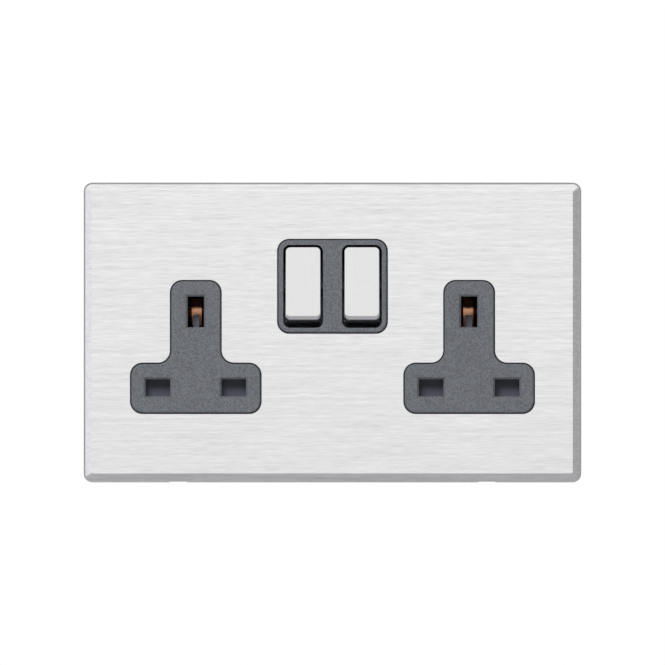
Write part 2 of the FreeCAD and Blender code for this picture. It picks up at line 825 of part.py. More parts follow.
# Neutral bar: one brass strip behind both outlets, with a sprung clip folded forward for
# each neutral pin and a tab on the neutral terminal.
def line_leaf(sign, web):
    """One sprung leaf of a line pin's clip, seen from the side and flared at its mouth."""
    inner = f"{line_level} + {sign} * grip / 2"
    return [
        (web, inner),
        (f"{mouth} + lip_length", inner),
        (mouth, f"{inner} + {sign} * lip_flare"),
        (mouth, f"{inner} + {sign} * (lip_flare + leaf)"),
        (f"{mouth} + lip_length", f"{inner} + {sign} * leaf"),
        (web, f"{inner} + {sign} * leaf"),
    ]


def clip(body, middle, web):
    """The two leaves that grip one line pin."""
    leaves = [line_leaf(sign, web) for sign in SIDES.values()]
    pad(body, leaves, f"{middle} - line_leaf_width / 2", f"{middle} + line_leaf_width / 2", axis="x")


clip_low = f"({line_level} - grip / 2 - leaf)"
clip_high = f"({line_level} + grip / 2 + leaf)"
outer_pin = f"(outlet_pitch / 2 + {pin_half})"
inner_pin = f"(outlet_pitch / 2 - {pin_half})"
half_leaf = "line_leaf_width / 2"
neutral_bar = new_body("neutral_bar")
neutral_outline = [
    (f"-{outer_pin} - {half_leaf}", clip_low),
    ("neutral_terminal_at - strip_width / 2", clip_low),
    ("neutral_terminal_at - strip_width / 2", run_low),
    ("neutral_terminal_at + strip_width / 2", run_low),
    ("neutral_terminal_at + strip_width / 2", clip_low),
    (f"{inner_pin} + {half_leaf}", clip_low),
    (f"{inner_pin} + {half_leaf}", clip_high),
    (f"-{outer_pin} - {half_leaf}", clip_high),
]
pad(neutral_bar, [neutral_outline], earth_web, earth_back)
for middle in (f"-{outer_pin}", inner_pin):
    clip(neutral_bar, middle, earth_web)


# Live contacts: one brass strip for each outlet, from its pin clip up to the fixed tip of
# its switch. The right one goes round the earth clip.
tip_level = "(switch_level + tip_arm)"
arm_low = f"({tip_level} - strip_width / 2)"
arm_high = f"({tip_level} + strip_width / 2)"
cross_low = f"({clip_high} + mouth_gap + lip_flare + leaf)"
cross_high = f"({cross_low} + strip_width)"
live_contact_left = new_body("live_contact_left")
left_outline = [
    (f"-{inner_pin} - {half_leaf}", clip_low),
    (f"-{inner_pin} + {half_leaf}", clip_low),
    (f"-{inner_pin} + {half_leaf}", arm_low),
    (f"{rockers['left']} + blade_width / 2", arm_low),
    (f"{rockers['left']} + blade_width / 2", arm_high),
    (f"-{inner_pin} - {half_leaf}", arm_high),
]
pad(live_contact_left, [left_outline], line_web, line_back)
clip(live_contact_left, f"-{inner_pin}", line_web)

live_contact_right = new_body("live_contact_right")
right_outline = [
    (f"{outer_pin} - {half_leaf}", clip_low),
    (f"{outer_pin} + {half_leaf}", clip_low),
    (f"{outer_pin} + {half_leaf}", cross_high),
    (f"{inner_pin} + {half_leaf}", cross_high),
    (f"{inner_pin} + {half_leaf}", arm_high),
    (f"{rockers['right']} - blade_width / 2", arm_high),
    (f"{rockers['right']} - blade_width / 2", arm_low),
    (f"{inner_pin} - {half_leaf}", arm_low),
    (f"{inner_pin} - {half_leaf}", cross_low),
    (f"{outer_pin} - {half_leaf}", cross_low),
]
pad(live_contact_right, [right_outline], line_web, line_back)
clip(live_contact_right, outer_pin, line_web)


# Rocking blades: each is a brass strip that tips on a knife edge of the live bar and
# carries a silver tip. Its middle is the knife edge.
knife_edge = "(pivot_depth + plunger_reach + blade_gap + blade_sheet - knife_notch + knife_clearance)"
blade_front = "(knife_notch - knife_clearance - blade_sheet)"
blade_back = "(knife_notch - knife_clearance)"
for side in SIDES:
    blade = new_body(f"blade_{side}")
    blade_profile = [
        (blade_front, "-blade_short_arm"),
        (blade_back, "-blade_short_arm"),
        (blade_back, "-knife_notch"),
        (f"{blade_back} - knife_notch", "0"),
        (blade_back, "knife_notch"),
        (blade_back, "blade_long_arm"),
        (blade_front, "blade_long_arm"),
    ]
    pad(blade, [blade_profile], "-blade_width / 2", "blade_width / 2", axis="x")
    blade_tip = new_body(f"blade_tip_{side}")
    button = ring("0", "tip_arm", "tip_radius", SCREW_SIDES)
    pad(blade_tip, [button], blade_back, f"{blade_back} + tip_height")
    for piece in (blade, blade_tip):
        piece.Placement = FreeCAD.Placement(
            FreeCAD.Vector(0, 0, 0), FreeCAD.Rotation(FreeCAD.Vector(1, 0, 0), value("blade_tilt"))
        )
        piece.setExpression("Placement.Rotation.Angle", sized("blade_tilt"))
        piece.setExpression("Placement.Base.x", sized(rockers[side]))
        piece.setExpression("Placement.Base.y", sized(knife_edge))
        piece.setExpression("Placement.Base.z", sized("switch_level"))


# Fixed tips: two silver buttons riveted on the live contacts, which the blades meet.
tip_face = (
    f"({knife_edge} + ({blade_back} + tip_height) * cos(blade_tilt)"
    " + (tip_arm + tip_radius) * sin(blade_tilt) + tip_gap)"
)
fixed_tips = new_body("fixed_tips")
fixed_tips.AllowCompound = True
buttons = [ring(middle, tip_level, "tip_radius", SCREW_SIDES) for middle in rockers.values()]
pad(fixed_tips, buttons, tip_face, line_web)


# Live bar: one brass strip from the live terminal up behind both switches, stepped back
# at its foot, with a knife edge folded forward under each blade.
step_low = "(terminal_height - terminal_foot + terminal_seat)"
step_high = f"({step_low} + strip_thickness)"
live_bar = new_body("live_bar")
live_left = "(live_terminal_at - strip_width / 2)"
live_right = "(live_terminal_at + strip_width / 2)"
live_outline = [
    (live_left, step_low),
    (live_right, step_low),
    (live_right, "switch_level - strip_width / 2"),
    (f"{rockers['right']} + blade_width / 2", "switch_level - strip_width / 2"),
    (f"{rockers['right']} + blade_width / 2", "switch_level + strip_width / 2"),
    (f"{rockers['left']} - blade_width / 2", "switch_level + strip_width / 2"),
    (f"{rockers['left']} - blade_width / 2", "switch_level - strip_width / 2"),
    (live_left, "switch_level - strip_width / 2"),
]
pad(live_bar, [live_outline], line_web, line_back)
pad(live_bar, [box(live_left, live_right, step_low, step_high)], line_web, earth_back)
pad(live_bar, [box(live_left, live_right, run_low, step_high)], earth_web, earth_back)
knife = [
    (line_web, "switch_level - strip_thickness / 2"),
    (f"{knife_edge} + strip_thickness", "switch_level - strip_thickness / 2"),
    (knife_edge, "switch_level"),
    (f"{knife_edge} + strip_thickness", "switch_level + strip_thickness / 2"),
    (line_web, "switch_level + strip_thickness / 2"),
]
for middle in rockers.values():
    pad(live_bar, [knife], f"{middle} - blade_width / 2", f"{middle} + blade_width / 2", axis="x")


# Rockers: a grey core with two pivot pins, a hollow back and a bored stem. The steel cap
# covers its front and the upper part of its flanks. Its origin is the pivot.
def flank(depth):
    """Half the rocker's height at a depth behind its face."""
    return f"(rocker_face / 2 + rocker_flare * ({depth}) / rocker_flank)"


def rocker_side(front, back, inset):
    """The side view of the rocker between two depths behind its face."""
    return [
        (f"({front}) - rocker_rise", f"{inset} - {flank(front)}"),
        (f"({back}) - rocker_rise", f"{inset} - {flank(back)}"),
        (f"({back}) - rocker_rise", f"{flank(back)} - {inset}"),
        (f"({front}) - rocker_rise", f"{flank(front)} - {inset}"),
    ]


def tip_with_pivot(piece, side):
    """Hang a piece on the rocker's pivot, tilted as it is when switched off."""
    piece.Placement = FreeCAD.Placement(
        FreeCAD.Vector(0, 0, 0), FreeCAD.Rotation(FreeCAD.Vector(1, 0, 0), -value("rocker_tilt"))
    )
    piece.setExpression("Placement.Rotation.Angle", sized("-rocker_tilt"))
    piece.setExpression("Placement.Base.x", sized(rockers[side]))
    piece.setExpression("Placement.Base.y", sized("pivot_depth"))
    piece.setExpression("Placement.Base.z", sized("switch_level"))


rocker_half = "(rocker_width / 2)"
core_half = "(rocker_width / 2 - cap_sheet)"
hollow_front = "(cap_sheet + core_wall - rocker_rise)"
skirt_back = "(rocker_flank - rocker_rise)"
bore_end = "(stem_reach - bore_depth)"
hollow_half = f"({core_half} - core_wall)"
hollow_end = "(rocker_face / 2 - cap_sheet - core_wall)"
upper_hollow = box(f"-{hollow_half}", hollow_half, "stem_size / 2", hollow_end)
lower_hollow = box(f"-{hollow_half}", hollow_half, f"-{hollow_end}", "-stem_size / 2")
for side in SIDES:
    rocker = new_body(f"rocker_{side}")
    pad(rocker, [rocker_side("cap_sheet", "cap_depth", "cap_sheet")], f"-{core_half}", core_half, axis="x")
    pad(rocker, [rocker_side("cap_depth", "rocker_flank", "0")], f"-{rocker_half}", rocker_half, axis="x")
    pocket(rocker, [upper_hollow, lower_hollow], hollow_front, skirt_back)
    pad(rocker, [middle_box("0", "0", "stem_size", "stem_size")], skirt_back, "stem_reach")
    ears = [
        box(f"{rocker_half} - core_wall", rocker_half, "-pivot_radius * 2", "pivot_radius * 2"),
        box(f"-{rocker_half}", f"core_wall - {rocker_half}", "-pivot_radius * 2", "pivot_radius * 2"),
    ]
    pad(rocker, ears, skirt_back, "pivot_radius * 2")
    pin = [lambda drawing: circle(drawing, "0", "0", "pivot_radius")]
    pin_end = f"({cheek_foot} + cheek_thickness - pivot_clearance * 2)"
    pad(rocker, pin, rocker_half, pin_end, axis="x")
    pad(rocker, pin, f"-{pin_end}", f"-{rocker_half}", axis="x")
    pocket(rocker, [lambda drawing: circle(drawing, "0", "0", "bore_radius")], bore_end, "stem_reach")
    tip_with_pivot(rocker, side)

    cap = new_body(f"rocker_cap_{side}")
    pad(cap, [rocker_side("0", "cap_depth", "0")], f"-{rocker_half}", rocker_half, axis="x")
    cap_back = value("cap_depth - rocker_rise")
    bevel(cap, "rocker_bevel", lambda reach: reach.YMin < cap_back - TOUCHING)
    pocket(cap, [rocker_side("cap_sheet", "cap_depth", "cap_sheet")], f"-{core_half}", core_half, axis="x")
    tip_with_pivot(cap, side)


# Plungers and their springs: each plunger slides in its rocker's stem and presses the blade.
for side in SIDES:
    plunger = new_body(f"plunger_{side}")
    plunger_foot = "(plunger_reach - plunger_length)"
    pad(plunger, [lambda drawing: circle(drawing, "0", "0", "plunger_radius")], plunger_foot, "plunger_reach")
    bevel(plunger, "plunger_bevel", at_depth("plunger_reach"))
    tip_with_pivot(plunger, side)
    plunger_spring = coil(
        f"plunger_spring_{side}",
        value("plunger_radius - plunger_wire"),
        value("plunger_wire"),
        value(f"{plunger_foot} - {bore_end}"),
        value("plunger_turns"),
    )
    plunger_spring.Placement = FreeCAD.Placement(
        FreeCAD.Vector(0, 0, 0), FreeCAD.Rotation(FreeCAD.Vector(1, 0, 0), -value("rocker_tilt + 90"))
    )
    plunger_spring.setExpression("Placement.Rotation.Angle", sized("-rocker_tilt - 90"))
    plunger_spring.setExpression("Placement.Base.x", sized(rockers[side]))
    plunger_spring.setExpression("Placement.Base.y", sized(f"pivot_depth + {bore_end} * cos(rocker_tilt)"))
    plunger_spring.setExpression("Placement.Base.z", sized(f"switch_level - {bore_end} * sin(rocker_tilt)"))


# Rear moulding: a deep tray of grey thermoset. Corner posts take the screws, square pillars
# and short ledges carry the strips and the shutter plate, and pockets open to the back and
# the bottom hold the terminals.
def carriers(points, top):
    """Square pillars from the floor of the tray up to one depth."""
    pillars = [middle_box(x, z, "pillar_size", "pillar_size") for x, z in points]
    pad(rear_moulding, pillars, top, house_floor)


def terminal_spans():
    """The left and right edge of each terminal block."""
    terminal_halves = {
        "neutral_terminal": "terminal_width / 2",
        "live_terminal": "terminal_width / 2",
        "earth_terminal": "terminal_width",
    }
    return {
        name: (f"{name}_at - {half}", f"{name}_at + {half}") for name, half in terminal_halves.items()
    }


POST_SIDES = 8
rear_moulding = new_body("rear_moulding")
house_outline = middle_box("0", "0", house_width, house_height)
pad(rear_moulding, [lambda drawing: rounded(drawing, house_outline, "house_radius")], "0", house_back)
bevel(rear_moulding, "house_bevel", at_depth(house_back))
inner_outline = middle_box("0", "0", f"{house_width} - 2 * house_wall", f"{house_height} - 2 * house_wall")
pocket(
    rear_moulding,
    [lambda drawing: rounded(drawing, inner_outline, "house_radius - house_wall")],
    "0",
    house_floor,
)
pad(rear_moulding, [ring(x, z, "post_radius", POST_SIDES) for x, z in posts], "0", house_floor)
pocket(rear_moulding, post_rings("screw_radius + screw_clearance"), "0", house_back)
head_seat = f"({house_back} - screw_head_depth)"
pocket(rear_moulding, post_rings("screw_head_radius + head_clearance"), head_seat, house_back)
ledge_span = "(house_wall + ledge_reach)"
ledges = [
    middle_box(
        f"{across} * ledge_offset", f"{up} * ({house_height} - {ledge_span}) / 2", "rib_thickness", ledge_span
    )
    for across in SIDES.values()
    for up in SIDES.values()
]
pad(rear_moulding, ledges, keeper_back, house_floor)
bank_top = "(terminal_height - terminal_foot + terminal_seat)"
bank = box(
    "neutral_terminal_at - terminal_width / 2 - terminal_seat - rib_thickness",
    "earth_terminal_at + terminal_width + terminal_seat + rib_thickness",
    f"house_wall / 2 - {house_height} / 2",
    f"{bank_top} + rib_thickness",
)
pad(rear_moulding, [bank], earth_back, house_floor)
seats = [
    box(f"{left} - terminal_seat", f"{right} + terminal_seat", f"-{house_height}", bank_top)
    for left, right in terminal_spans().values()
]
pocket(rear_moulding, seats, earth_back, house_back)
carriers(
    [
        (f"-{inner_pin}", "switch_level"),
        (f"-{inner_pin}", f"({cross_low} + {cross_high}) / 2"),
        (inner_pin, "switch_level"),
        (inner_pin, f"({cross_low} + {cross_high}) / 2"),
        (outer_pin, line_level),
        ("0", "switch_level"),
        ("live_terminal_at", f"({cross_low} + {cross_high}) / 2"),
    ],
    line_back,
)
carriers(
    [
        (outlets["left"], earth_level),
        ("0", earth_level),
        (outlets["right"], earth_level),
        (f"{strap_end} - strip_width / 2", f"({cross_low} + {cross_high}) / 2"),
        (f"-{outer_pin}", line_level),
        (f"-{inner_pin}", line_level),
        ("0", line_level),
        (inner_pin, line_level),
    ],
    earth_back,
)


# Terminals: brass blocks with a bore for the wires from below and a clamp screw behind
# each bore, backed off as supplied. The earth block has two bores.
bore_middle = f"({earth_back} + bore_level)"
terminal_top = "(terminal_height - terminal_foot)"
bores = {
    "neutral_terminal": ["neutral_terminal_at"],
    "live_terminal": ["live_terminal_at"],
    "earth_terminal": [f"earth_terminal_at + {sign} * earth_bore_pitch / 2" for sign in SIDES.values()],
}
clamps = [middle for middles in bores.values() for middle in middles]


def clamp_rings(middles):
    return [ring(x, terminal_middle, "clamp_radius", SCREW_SIDES) for x in middles]


for name, (left, right) in terminal_spans().items():
    block = new_body(name)
    pad(block, [box(left, right, "-terminal_foot", terminal_top)], earth_back, house_back)
    wires = [lambda drawing, x=x: circle(drawing, x, bore_middle, "wire_bore / 2") for x in bores[name]]
    pocket(block, wires, "-terminal_foot", terminal_top, axis="z")
    pocket(block, clamp_rings(bores[name]), bore_middle, house_back)

clamp_tip = f"({bore_middle} + wire_bore / 2 + terminal_seat)"
clamp_end = f"({clamp_tip} + clamp_length)"
terminal_screws = new_body("terminal_screws")
terminal_screws.AllowCompound = True
pad(terminal_screws, clamp_rings(clamps), clamp_tip, clamp_end)
driver_slots = [middle_box(x, terminal_middle, "terminal_width / 2", "driver_slot") for x in clamps]
pocket(terminal_screws, driver_slots, f"{clamp_end} - driver_depth", clamp_end)


# Housing screws: four steel screws through the rear moulding and the grid frame into the
# front moulding.
housing_screws = new_body("housing_screws")
housing_screws.AllowCompound = True
head_back = f"({head_seat} + screw_head_height)"
pad(housing_screws, post_rings("screw_head_radius"), head_seat, head_back)
pad(housing_screws, post_rings("screw_radius"), f"{frame_front} - screw_bite", head_seat)
for width, height in (("screw_slot_length", "driver_slot"), ("driver_slot", "screw_slot_length")):
    recesses = [middle_box(x, z, width, height) for x, z in posts]
    pocket(housing_screws, recesses, f"{head_back} - driver_depth", head_back)


def check_and_write():
    """Stop if anything failed or cut nothing, then write each piece to its own file."""
    doc.recompute()
    for item in doc.Objects:
        if "Invalid" in item.State or "Error" in item.State:
            raise RuntimeError(f"{item.Label} did not rebuild")
        if item.TypeId in ("PartDesign::Pocket", "PartDesign::Groove", "PartDesign::SubtractiveLoft"):
            if item.BaseFeature.Shape.Volume - item.Shape.Volume < 1e-3:
                raise RuntimeError(f"{item.Label} takes nothing away")
    os.makedirs("parts", exist_ok=True)
    for item in doc.Objects:
        if item.TypeId not in ("PartDesign::Body", "Part::Feature"):
            continue
        if item.Shape.isNull() or not item.Shape.isValid():
            raise RuntimeError(f"{item.Label} has no valid shape")
        item.Shape.exportStep(f"parts/{item.Label}.step")


check_and_write()
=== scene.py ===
import json
import math

import bmesh
import bpy
from mathutils import Matrix, Vector


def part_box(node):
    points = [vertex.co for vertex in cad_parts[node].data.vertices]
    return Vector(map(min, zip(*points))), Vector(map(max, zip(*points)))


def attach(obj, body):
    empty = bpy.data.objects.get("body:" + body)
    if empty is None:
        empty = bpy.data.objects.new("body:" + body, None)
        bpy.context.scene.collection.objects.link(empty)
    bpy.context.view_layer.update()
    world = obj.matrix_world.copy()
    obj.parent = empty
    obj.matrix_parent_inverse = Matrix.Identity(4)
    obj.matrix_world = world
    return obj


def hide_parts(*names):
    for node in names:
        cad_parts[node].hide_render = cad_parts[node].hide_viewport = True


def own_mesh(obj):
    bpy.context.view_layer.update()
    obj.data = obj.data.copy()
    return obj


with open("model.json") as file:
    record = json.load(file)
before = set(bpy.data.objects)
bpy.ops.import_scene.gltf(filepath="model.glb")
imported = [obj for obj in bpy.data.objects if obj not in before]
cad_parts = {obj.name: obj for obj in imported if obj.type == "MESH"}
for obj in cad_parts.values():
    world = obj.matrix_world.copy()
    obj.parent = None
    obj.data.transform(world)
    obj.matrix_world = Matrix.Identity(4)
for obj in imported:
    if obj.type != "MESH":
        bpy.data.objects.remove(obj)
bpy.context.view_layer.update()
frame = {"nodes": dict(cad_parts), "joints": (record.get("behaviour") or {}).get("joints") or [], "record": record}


# Rear moulding. A deep tray of dark grey thermoset, pressed in one piece, with pockets for
# the terminals along its lower edge. Four screws clamp it behind the grid frame.
MM = 0.001


class Value:
    """A shader socket that can be used in sums: each sum adds a Math node."""

    def __init__(self, tree, socket):
        self.tree = tree
        self.socket = socket

    def math(self, operation, first, second):
        return self.tree.add("ShaderNodeMath", {"operation": operation}, {0: first, 1: second})

    def either(self, other):
        """A mask of what is in this mask or in the other."""
        return self.math("MAXIMUM", self, other)

    def __add__(self, other):
        return self.math("ADD", self, other)

    def __sub__(self, other):
        return self.math("SUBTRACT", self, other)

    def __rsub__(self, other):
        return self.math("SUBTRACT", other, self)

    def __mul__(self, other):
        return self.math("MULTIPLY", self, other)

    __radd__ = __add__
    __rmul__ = __mul__


class Nodes:
    """The shader nodes of a material or of the world."""

    def __init__(self, owner):
        owner.use_nodes = True
        self.nodes = owner.node_tree.nodes
        self.links = owner.node_tree.links

    def put(self, socket, what):
        """Link a value into a socket, or set a plain number or colour on it."""
        if isinstance(what, Value):
            self.links.new(what.socket, socket)
        else:
            socket.default_value = what

    def add(self, kind, settings, inputs, output=0):
        """Add a node: its settings first, then what goes into its sockets."""
        node = self.nodes.new(kind)
        for name, setting in settings.items():
            setattr(node, name, setting)
        for name, what in inputs.items():
            self.put(node.inputs[name], what)
        return Value(self, node.outputs[output])


# A mix node gives its sockets the same names for numbers and for colours: these are the
# places of its colour sockets.
MIX_MASK, MIX_FIRST, MIX_SECOND, MIX_RESULT = 0, 6, 7, 2


class Finish(Nodes):
    """A procedural material with one surface shader."""

    def __init__(self, name):
        self.material = bpy.data.materials.new(name)
        super().__init__(self.material)
        self.shader = self.nodes["Principled BSDF"]

    def surface(self, **inputs):
        """Set the shader's sockets, named with _ for a space."""
        for name, what in inputs.items():
            self.put(self.shader.inputs[name.replace("_", " ")], what)

    def point(self):
        """Where a point lies on its own piece, in metres."""
        return self.add("ShaderNodeTexCoord", {}, {}, output="Object")

    def place(self, axis):
        """Where a point lies along one axis of its piece, X, Y or Z, in millimetres."""
        return self.add("ShaderNodeSeparateXYZ", {}, {0: self.point()}, output=axis) * (1 / MM)

    def facing(self, axis):
        """A mask of the faces that look along one axis, either way.

        It is full up to about 33 degrees off the axis and gone from 45 degrees on.
        """
        normal = self.add("ShaderNodeTexCoord", {}, {}, output="Normal")
        along = self.add("ShaderNodeSeparateXYZ", {}, {0: normal}, output=axis)
        return self.ramp(along * along, 0.5, 0.7)

    def noise(self, size, stretch=(1, 1, 1), detail=2.0):
        """Noise whose spots are about this many millimetres across, times a stretch."""
        scale = [1 / (size * MM * way) for way in stretch]
        spread = self.add("ShaderNodeVectorMath", {"operation": "MULTIPLY"}, {0: self.point(), 1: scale})
        return self.add("ShaderNodeTexNoise", {}, {"Vector": spread, "Scale": 1.0, "Detail": detail}, "Fac")

    def ramp(self, value, low, high):
        """Stretch the part of a value between two levels to run from 0 to 1."""
        return self.add("ShaderNodeMapRange", {}, {"Value": value, "From Min": low, "From Max": high})

    def blend(self, mask, first, second):
        """A colour that goes from the first to the second with the mask."""
        ends = [tone if isinstance(tone, Value) else (*tone, 1) for tone in (first, second)]
        inputs = {MIX_MASK: mask, MIX_FIRST: ends[0], MIX_SECOND: ends[1]}
        return self.add("ShaderNodeMix", {"data_type": "RGBA"}, inputs, MIX_RESULT)

    def relief(self, height, depth):
        """A bump whose full height is this many millimetres."""
        return self.add("ShaderNodeBump", {}, {"Height": height, "Distance": depth * MM}, "Normal")


def shaded(colour, level):
    return [level * part for part in colour]


SAME_POINT = 0.001 * MM
FLAT_WITHIN = math.radians(1)
SHARP_FROM = math.radians(32)


def shade_evenly(piece):
    """Let the large faces of a piece rule the shading along its edges."""
    normals = piece.modifiers.new("even shading", "WEIGHTED_NORMAL")
    normals.weight = 100


def soften(piece, radius):
    """Round a piece's edges a little, as pressing, moulding and tumbling leave them."""
    joined = piece.modifiers.new("joined faces", "WELD")
    joined.merge_threshold = SAME_POINT
    flat = piece.modifiers.new("flat faces", "DECIMATE")
    flat.decimate_type = "DISSOLVE"
    flat.angle_limit = FLAT_WITHIN
    edge = piece.modifiers.new("rounded edges", "BEVEL")
    edge.width = radius * MM
    edge.segments = 3
    edge.limit_method = "ANGLE"
    edge.angle_limit = SHARP_FROM
    shade_evenly(piece)
    for face in piece.data.polygons:
        face.use_smooth = True


def cover(node, finish, radius):
    """Give a solid of the frame its finish and its rounded edges."""
    piece = frame["nodes"][node]
    for slot in piece.material_slots:
        slot.material = finish.material
    soften(piece, radius)


# The levels between which most of a noise lies.
MOST_NOISE = (0.3, 0.7)


def moulded(name, colour, grain, roughness, relief, contrast=0.1):
    """Moulded plastic with the fine even texture that a sparked tool leaves, a little clouded.

    The grain and its relief are in millimetres, and the contrast is a share of the colour.
    """
    finish = Finish(name)
    grains = finish.ramp(finish.noise(grain, detail=1.0), *MOST_NOISE)
    clouds = finish.noise(30 * grain)
    low, high, dimmed = 1 - contrast, 1 + contrast, 0.04
    clear = finish.blend(grains, shaded(colour, low), shaded(colour, high))
    clouded = finish.blend(grains, shaded(colour, low - dimmed), shaded(colour, high - dimmed / 2))
    finish.surface(
        Base_Color=finish.blend(clouds, clear, clouded),
        Roughness=roughness + 0.1 * grains,
        Normal=finish.relief(grains, relief),
        Specular_IOR_Level=0.4,
    )
    return finish


thermoset = moulded("rear thermoset", (0.085, 0.09, 0.096), grain=0.5, roughness=0.42, relief=0.02)
cover("rear_moulding", thermoset, radius=0.25)


# Terminals. Brass blocks sawn from drawn bar and bored from below for the wires, each bore
# with a zinc plated clamp screw behind it, turned and slotted.
PATCH_SIZE = 5.0
LINE_RELIEF = 0.004


def drawn_metal(name, colour, roughness, line, stretch=(1, 1, 1)):
    """Rolled or drawn metal with faint lines along its length and dull patches.

    A line is so many millimetres wide, and the stretch says how much longer it is each way.
    """
    finish = Finish(name)
    lines = finish.noise(line, stretch)
    patches = finish.noise(PATCH_SIZE)
    dull = shaded(colour, 0.8)
    finish.surface(
        Base_Color=finish.blend(finish.ramp(patches, *MOST_NOISE), dull, colour),
        Metallic=1.0,
        Roughness=roughness + 0.14 * patches + 0.1 * lines,
        Normal=finish.relief(lines, LINE_RELIEF),
    )
    return finish


def piece_from(name, mesh, finish, slot, body, *nodes):
    """Make a piece of a mesh and a finish, and put it on its body in place of its solids."""
    data = bpy.data.meshes.new(name)
    bmesh.ops.recalc_face_normals(mesh, faces=mesh.faces)
    for face in mesh.faces:
        face.smooth = True
    mesh.to_mesh(data)
    mesh.free()
    data.materials.append(finish.material)
    piece = bpy.data.objects.new(name, data)
    bpy.context.scene.collection.objects.link(piece)
    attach(piece, body)
    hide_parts(*nodes)
    return piece


def join_rings(mesh, rings):
    """Join closed rings of as many points each by faces, and close the first and the last."""
    loops = [[mesh.verts.new(point) for point in ring] for ring in rings]
    for first, second in zip(loops, loops[1:]):
        for i, corner in enumerate(first):
            following = (i + 1) % len(first)
            mesh.faces.new((corner, first[following], second[following], second[i]))
    mesh.faces.new(loops[0])
    mesh.faces.new(loops[-1])


TURNED_SIDES = 40


def turned(mesh, middle, profile):
    """Turn a profile, given as radius and depth from point to point, about an axis along Y."""
    angles = [2 * math.pi * i / TURNED_SIDES for i in range(TURNED_SIDES)]
    join_rings(mesh, [
        [(middle[0] + radius * math.cos(a), depth, middle[1] + radius * math.sin(a)) for a in angles]
        for radius, depth in profile
    ])


def cut_with(piece, cutters):
    """Cut blocks out of a piece: each is given by its lowest and highest corners."""
    mesh = bmesh.new()
    for low, high in cutters:
        span = [b - a for a, b in zip(low, high)]
        centre = [(a + b) / 2 for a, b in zip(low, high)]
        bmesh.ops.create_cube(mesh, size=1, matrix=Matrix.Translation(centre) @ Matrix.Diagonal((*span, 1)))
    data = bpy.data.meshes.new("cutters")
    mesh.to_mesh(data)
    mesh.free()
    tool = bpy.data.objects.new("cutters", data)
    bpy.context.scene.collection.objects.link(tool)
    cut = piece.modifiers.new("driver slots", "BOOLEAN")
    cut.object = tool
    cut.operation = "DIFFERENCE"
    cut.solver = "EXACT"
    bpy.context.view_layer.update()
    shape = piece.evaluated_get(bpy.context.evaluated_depsgraph_get())
    piece.modifiers.remove(cut)
    piece.data = bpy.data.meshes.new_from_object(shape)
    bpy.data.objects.remove(tool)


BRASS = (0.74, 0.53, 0.22)
block_brass = drawn_metal("terminal brass", BRASS, roughness=0.26, line=0.12, stretch=(1, 1, 30))
for node in ("neutral_terminal", "live_terminal", "earth_terminal"):
    cover(node, block_brass, radius=0.2)
zinc = drawn_metal("bright zinc", (0.60, 0.62, 0.64), roughness=0.28, line=0.4)


def slotted_screws():
    """The four clamp screws, one over each wire bore, with a driver slot across the end."""
    low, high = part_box("terminal_screws")
    radius = (high[2] - low[2]) / 2
    level = (high[2] + low[2]) / 2
    chamfer = 0.25 * MM
    slot_width, slot_depth = 0.8 * MM, 0.9 * MM
    slot_reach = radius + 1 * MM
    bores = [mount["pos_m"][0] for mount in frame["record"]["mounts"] if mount["kind"] == "bore"]
    mesh = bmesh.new()
    for across in bores:
        turned(mesh, (across, level), [
            (radius - chamfer, low[1]),
            (radius, low[1] + chamfer),
            (radius, high[1] - chamfer),
            (radius - chamfer, high[1]),
        ])
    piece = piece_from("clamp_screws", mesh, zinc, "zinc plated steel", "body", "terminal_screws")
    cut_with(piece, [
        (
            (across - slot_reach, high[1] - slot_depth, level - slot_width / 2),
            (across + slot_reach, high[1] + slot_depth, level + slot_width / 2),
        )
        for across in bores
    ])
    soften(piece, radius=0.08)


slotted_screws()


# Contact strips. The neutral bar, live bar and live contacts are stamped from brass strip,
# the earth strap from phosphor bronze, whose copper colour shows through the earth slots.
# The blades and the live contacts that they meet carry silver tips.
strip_brass = drawn_metal("strip brass", BRASS, roughness=0.24, line=0.1, stretch=(30, 1, 1))
for node in ("neutral_bar", "live_bar", "live_contact_left", "live_contact_right"):
    cover(node, strip_brass, radius=0.12)


def bronze_with_painted_light():
    """Rolled bronze with a painted highlight band across it, and painted shade in dark brown above that."""
    finish = Finish("phosphor bronze")
    # The bronze's own colour, then the colour of a painted highlight and the colour of painted shade.
    rolled, painted_highlight_tone, painted_shade_tone = (0.36, 0.15, 0.08), (0.97, 0.54, 0.34), (0.13, 0.055, 0.04)
    painted_highlight_low, painted_highlight_high = 5.6, 7.0
    painted_shade_low, painted_shade_fade = 6.6, 0.7
    level = finish.place("Z")
    patches = finish.noise(1.2)
    # Painted highlight: a blotched bright band from about 5.6 mm up, where light reaches into the earth slot.
    painted_highlight = finish.ramp(level + 1.6 * patches, painted_highlight_low, painted_highlight_high)
    # Painted shade: dark brown from about 6.6 mm up, where the slot's top edge shades the strap. It is also
    # rougher there.
    painted_shade = finish.ramp(level - (painted_shade_low + 0.8 * patches), 0.0, painted_shade_fade)
    finish.surface(
        Base_Color=finish.blend(painted_shade, finish.blend(painted_highlight, rolled, painted_highlight_tone), painted_shade_tone),
        Metallic=1.0,
        Roughness=0.3 + 0.3 * painted_shade,
        Normal=finish.relief(finish.noise(0.1, (30, 1, 1)), LINE_RELIEF),
    )
    return finish


cover("earth_strap", bronze_with_painted_light(), radius=0.12)
silver = drawn_metal("contact silver", (0.86, 0.86, 0.84), roughness=0.26, line=0.3)
cover("fixed_tips", silver, radius=0.1)
for side in ("left", "right"):
    cover(f"blade_{side}", strip_brass, radius=0.12)
    cover(f"blade_tip_{side}", silver, radius=0.1)


# Shutters. Each is one moulded grey slide, held up by a light coil spring below it. A pale
# inner moulding behind them keeps both against the front moulding.
WIRE_SIDES = 8
POINTS_PER_TURN = 28
CLOSED_TURNS = 0.8
CLOSED_RISE = 0.9


